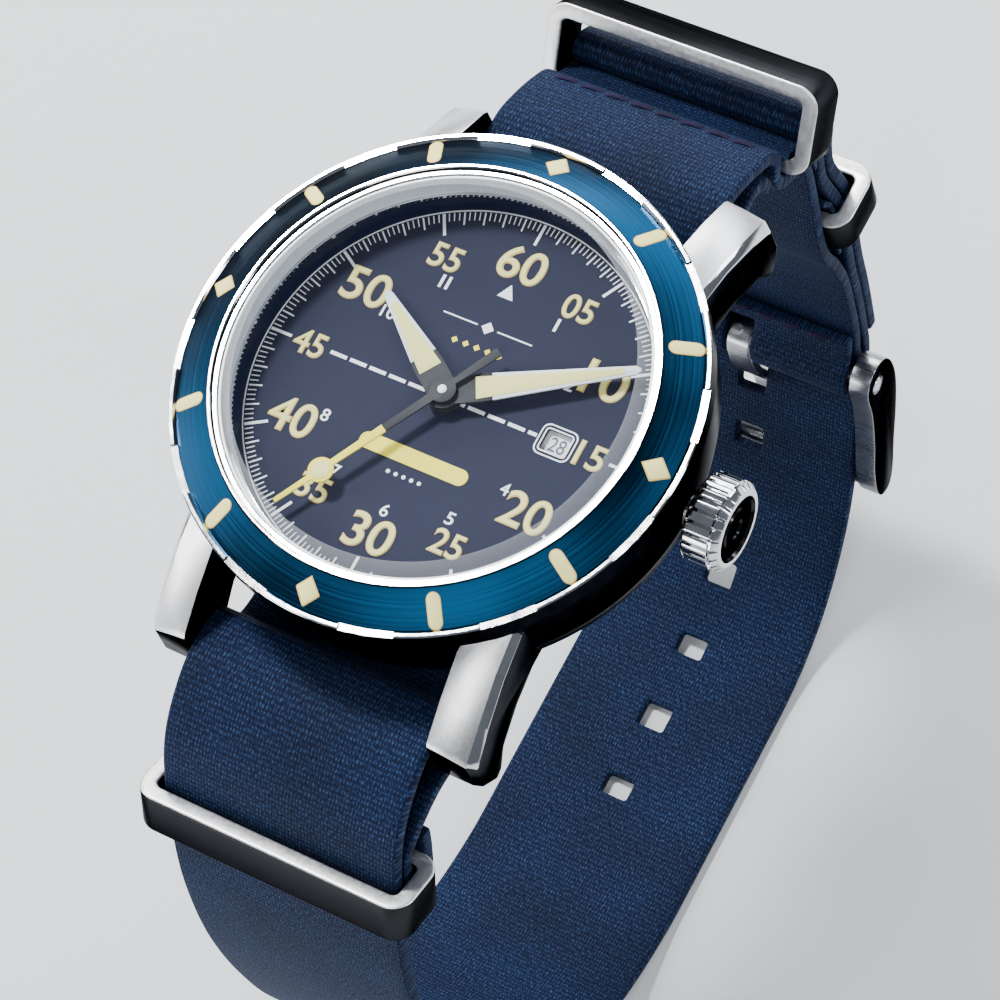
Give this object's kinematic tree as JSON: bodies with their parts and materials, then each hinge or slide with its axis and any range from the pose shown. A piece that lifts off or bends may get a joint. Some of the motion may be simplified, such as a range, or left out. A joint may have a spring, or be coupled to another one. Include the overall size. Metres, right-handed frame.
{
  "type": "dive watch",
  "caption": "Automatic dive watch with a rotating timing bezel, date window and knurled crown, on a buckled two-layer webbing strap with metal keepers.",
  "frame": {"origin": "middle of the bounding box's bottom, on the surface that the closed strap loop stands on", "axes": "+Z is the dial's outward normal, +Y points to twelve o'clock and +X points out along the crown"},
  "size_m": [0.0464, 0.0824, 0.0835],
  "materials": {
    "brushed_steel": "fine straight brushing with polished edges",
    "polished_steel": "mirror polish",
    "insert_blue": "circular brushing under a blue anodised coat",
    "crystal": "clear mineral crystal",
    "gasket": "matte black",
    "dial_paint": "matte slate navy",
    "rehaut_paint": "satin navy",
    "white_paint": "matte white",
    "hand_paint": "satin grey and bright steel with cream luminous fills",
    "hand_yellow": "satin yellow",
    "movement_brass": "polished gilt",
    "movement_nickel": "nickel plate, frosted",
    "steel_parts": "fine turned steel",
    "holder_plastic": "matte off-white",
    "webbing": "navy nylon webbing, close weave"
  },
  "bodies": {
    "case": {"case_middle": "brushed_steel", "case_back": "brushed_steel", "case_back_gasket": "gasket", "bezel_click_spring": "steel_parts", "crystal": "crystal", "crystal_gasket": "gasket", "rehaut_ring": "rehaut_paint", "dial": "dial_paint", "movement_holder": "holder_plastic", "main_plate": "movement_nickel", "hairspring": "steel_parts", "train_bridge": "movement_nickel", "balance_cock": "movement_nickel", "rotor_bearing": "steel_parts", "crown_tube": "steel_parts", "spring_bar_tube_12": "steel_parts", "spring_bar_spring_12": "steel_parts", "spring_bar_tube_6": "steel_parts", "spring_bar_spring_6": "steel_parts", "strap_long": "webbing", "strap_short": "webbing", "keeper_tab_top": "webbing", "keeper_tab_rear": "webbing", "keeper_front": "brushed_steel", "keeper_top": "brushed_steel", "keeper_rear": "brushed_steel", "buckle_bar": "brushed_steel"},
    "bezel": {"bezel_ring": "polished_steel", "bezel_insert": "insert_blue"},
    "seconds_train": {"seconds_arbor": "movement_brass", "seconds_hand": "hand_yellow"},
    "minute_train": {"centre_wheel": "movement_brass", "cannon_pinion": "steel_parts", "minute_hand": "hand_paint"},
    "hour_train": {"hour_wheel": "movement_brass", "hour_hand": "hand_paint"},
    "third_train": {"third_wheel": "movement_brass"},
    "escapement": {"escape_wheel": "movement_brass"},
    "barrel": {"mainspring_barrel": "movement_brass"},
    "pallets": {"pallet_fork": "steel_parts"},
    "balance": {"balance_wheel": "movement_brass"},
    "rotor": {"rotor_weight": "movement_nickel"},
    "date_disc": {"date_ring": "white_paint"},
    "winding_clutch": {"sliding_pinion": "steel_parts"},
    "crown_and_stem": {"crown": "polished_steel", "crown_gasket": "gasket", "winding_stem": "steel_parts"},
    "pin_12_right": {"spring_bar_pin_12_right": "steel_parts"},
    "pin_12_left": {"spring_bar_pin_12_left": "steel_parts"},
    "pin_6_right": {"spring_bar_pin_6_right": "steel_parts"},
    "pin_6_left": {"spring_bar_pin_6_left": "steel_parts"},
    "buckle": {"buckle_frame": "brushed_steel"},
    "tongue": {"buckle_tongue": "brushed_steel"}
  },
  "joints": [
    {"name": "bezel_turn", "type": "hinge", "parent": "case", "child": "bezel", "pos_m": [-0.0018, -0.00074, 0.0823], "axis": [0, 0, 1], "continuous": true},
    {"name": "seconds_turn", "type": "hinge", "parent": "case", "child": "seconds_train", "pos_m": [-0.0018, -0.00074, 0.078], "axis": [0, 0, -1], "continuous": true},
    {"name": "minute_turn", "type": "hinge", "parent": "case", "child": "minute_train", "pos_m": [-0.0018, -0.00074, 0.078], "axis": [0, 0, -1], "continuous": true},
    {"name": "hour_turn", "type": "hinge", "parent": "case", "child": "hour_train", "pos_m": [-0.0018, -0.00074, 0.078], "axis": [0, 0, -1], "continuous": true},
    {"name": "third_wheel_turn", "type": "hinge", "parent": "case", "child": "third_train", "pos_m": [0.0004, -0.00309, 0.074], "axis": [0, 0, -1], "continuous": true},
    {"name": "escape_wheel_turn", "type": "hinge", "parent": "case", "child": "escapement", "pos_m": [-0.0008, 0.00253, 0.074], "axis": [0, 0, -1], "continuous": true},
    {"name": "barrel_turn", "type": "hinge", "parent": "case", "child": "barrel", "pos_m": [-0.0074, -0.00404, 0.074], "axis": [0, 0, -1], "continuous": true},
    {"name": "pallet_swing", "type": "hinge", "parent": "case", "child": "pallets", "pos_m": [-0.0012, 0.00556, 0.074], "axis": [0, 0, 1], "range_deg": [-5, 5]},
    {"name": "balance_swing", "type": "hinge", "parent": "case", "child": "balance", "pos_m": [-0.0033, 0.00796, 0.074], "axis": [0, 0, 1], "range_deg": [-270, 270], "stiffness_Nm_per_rad": 0.0000001},
    {"name": "rotor_turn", "type": "hinge", "parent": "case", "child": "rotor", "pos_m": [-0.0018, -0.00074, 0.071], "axis": [0, 0, 1], "continuous": true},
    {"name": "date_disc_turn", "type": "hinge", "parent": "case", "child": "date_disc", "pos_m": [-0.0018, -0.00074, 0.0774], "axis": [0, 0, -1], "continuous": true},
    {"name": "crown_turn", "type": "hinge", "parent": "case", "child": "winding_clutch", "pos_m": [0.006, -0.00074, 0.0753], "axis": [1, 0, 0], "continuous": true},
    {"name": "crown_pull", "type": "slide", "parent": "winding_clutch", "child": "crown_and_stem", "axis": [1, 0, 0], "range_m": [0, 0.0024]},
    {"name": "pin_12_right_press", "type": "slide", "parent": "case", "child": "pin_12_right", "axis": [-1, 0, 0], "range_m": [0, 0.0009], "stiffness_N_per_m": 800, "springref_m": -0.001, "deforming": ["spring_bar_spring_12"]},
    {"name": "pin_12_left_press", "type": "slide", "parent": "case", "child": "pin_12_left", "axis": [1, 0, 0], "range_m": [0, 0.0009], "stiffness_N_per_m": 800, "springref_m": -0.001, "deforming": ["spring_bar_spring_12"]},
    {"name": "pin_6_right_press", "type": "slide", "parent": "case", "child": "pin_6_right", "axis": [-1, 0, 0], "range_m": [0, 0.0009], "stiffness_N_per_m": 800, "springref_m": -0.001, "deforming": ["spring_bar_spring_6"]},
    {"name": "pin_6_left_press", "type": "slide", "parent": "case", "child": "pin_6_left", "axis": [1, 0, 0], "range_m": [0, 0.0009], "stiffness_N_per_m": 800, "springref_m": -0.001, "deforming": ["spring_bar_spring_6"]},
    {"name": "buckle_frame_turn", "type": "hinge", "parent": "case", "child": "buckle", "pos_m": [-0.0018, 0.03216, 0.0279], "axis": [1, 0, 0], "range_deg": [0, 3]},
    {"name": "buckle_tongue_turn", "type": "hinge", "parent": "case", "child": "tongue", "pos_m": [-0.0018, 0.03216, 0.0279], "axis": [1, 0, 0], "range_deg": [0, 3]}
  ],
  "couplings": [
    {"joint": "minute_turn", "follows": "seconds_turn", "ratio": 0.016667},
    {"joint": "hour_turn", "follows": "seconds_turn", "ratio": 0.0013889},
    {"joint": "third_wheel_turn", "follows": "seconds_turn", "ratio": -0.13333},
    {"joint": "escape_wheel_turn", "follows": "seconds_turn", "ratio": -12},
    {"joint": "barrel_turn", "follows": "seconds_turn", "ratio": -0.0025},
    {"joint": "buckle_tongue_turn", "follows": "buckle_frame_turn", "ratio": 1}
  ]
}
